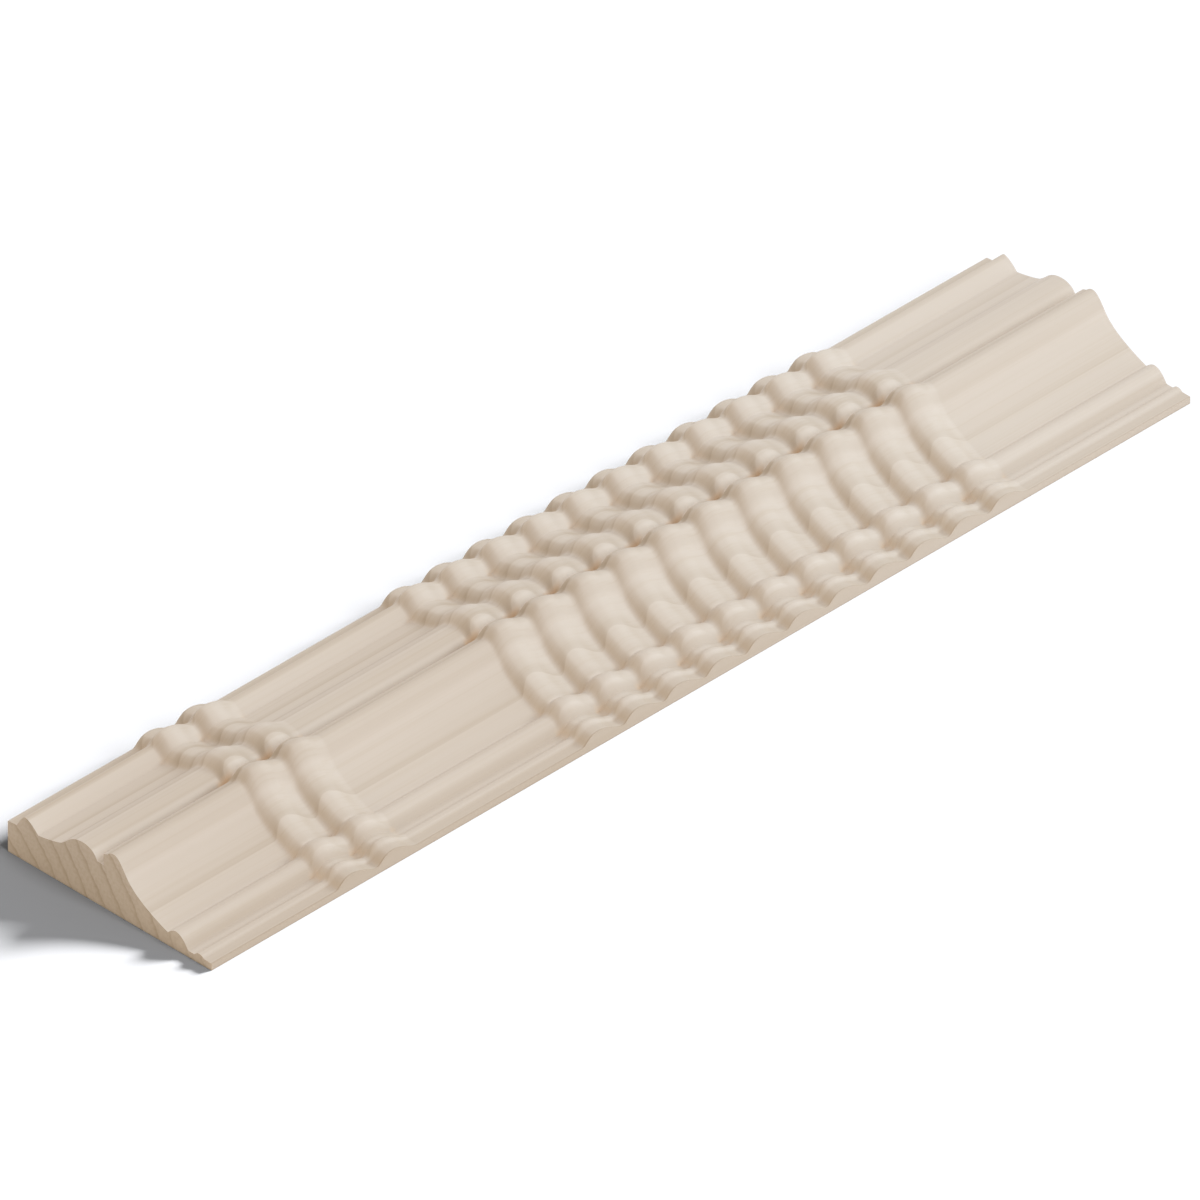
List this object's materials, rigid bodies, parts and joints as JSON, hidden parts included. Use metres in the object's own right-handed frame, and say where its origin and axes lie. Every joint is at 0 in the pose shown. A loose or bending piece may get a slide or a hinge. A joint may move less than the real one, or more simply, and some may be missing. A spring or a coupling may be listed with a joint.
{
  "type": "ripple moulding",
  "caption": "Length of pale wood moulding with a profile of beads, scotia, torus and cove, carved across with groups of raised ripples, flat at the back so it can be fixed to a surface.",
  "frame": {"origin": "centre of the flat back, which lies on z = 0", "axes": "+X along the length, with the pair of ripples near the -X end; +Y across the width towards the thick edge; +Z out of the carved face"},
  "size_m": [0.48, 0.1, 0.0286],
  "materials": {
    "wood": "bare, sanded, matt"
  },
  "bodies": {
    "root": {"ripple_moulding": "wood"}
  },
  "joints": []
}
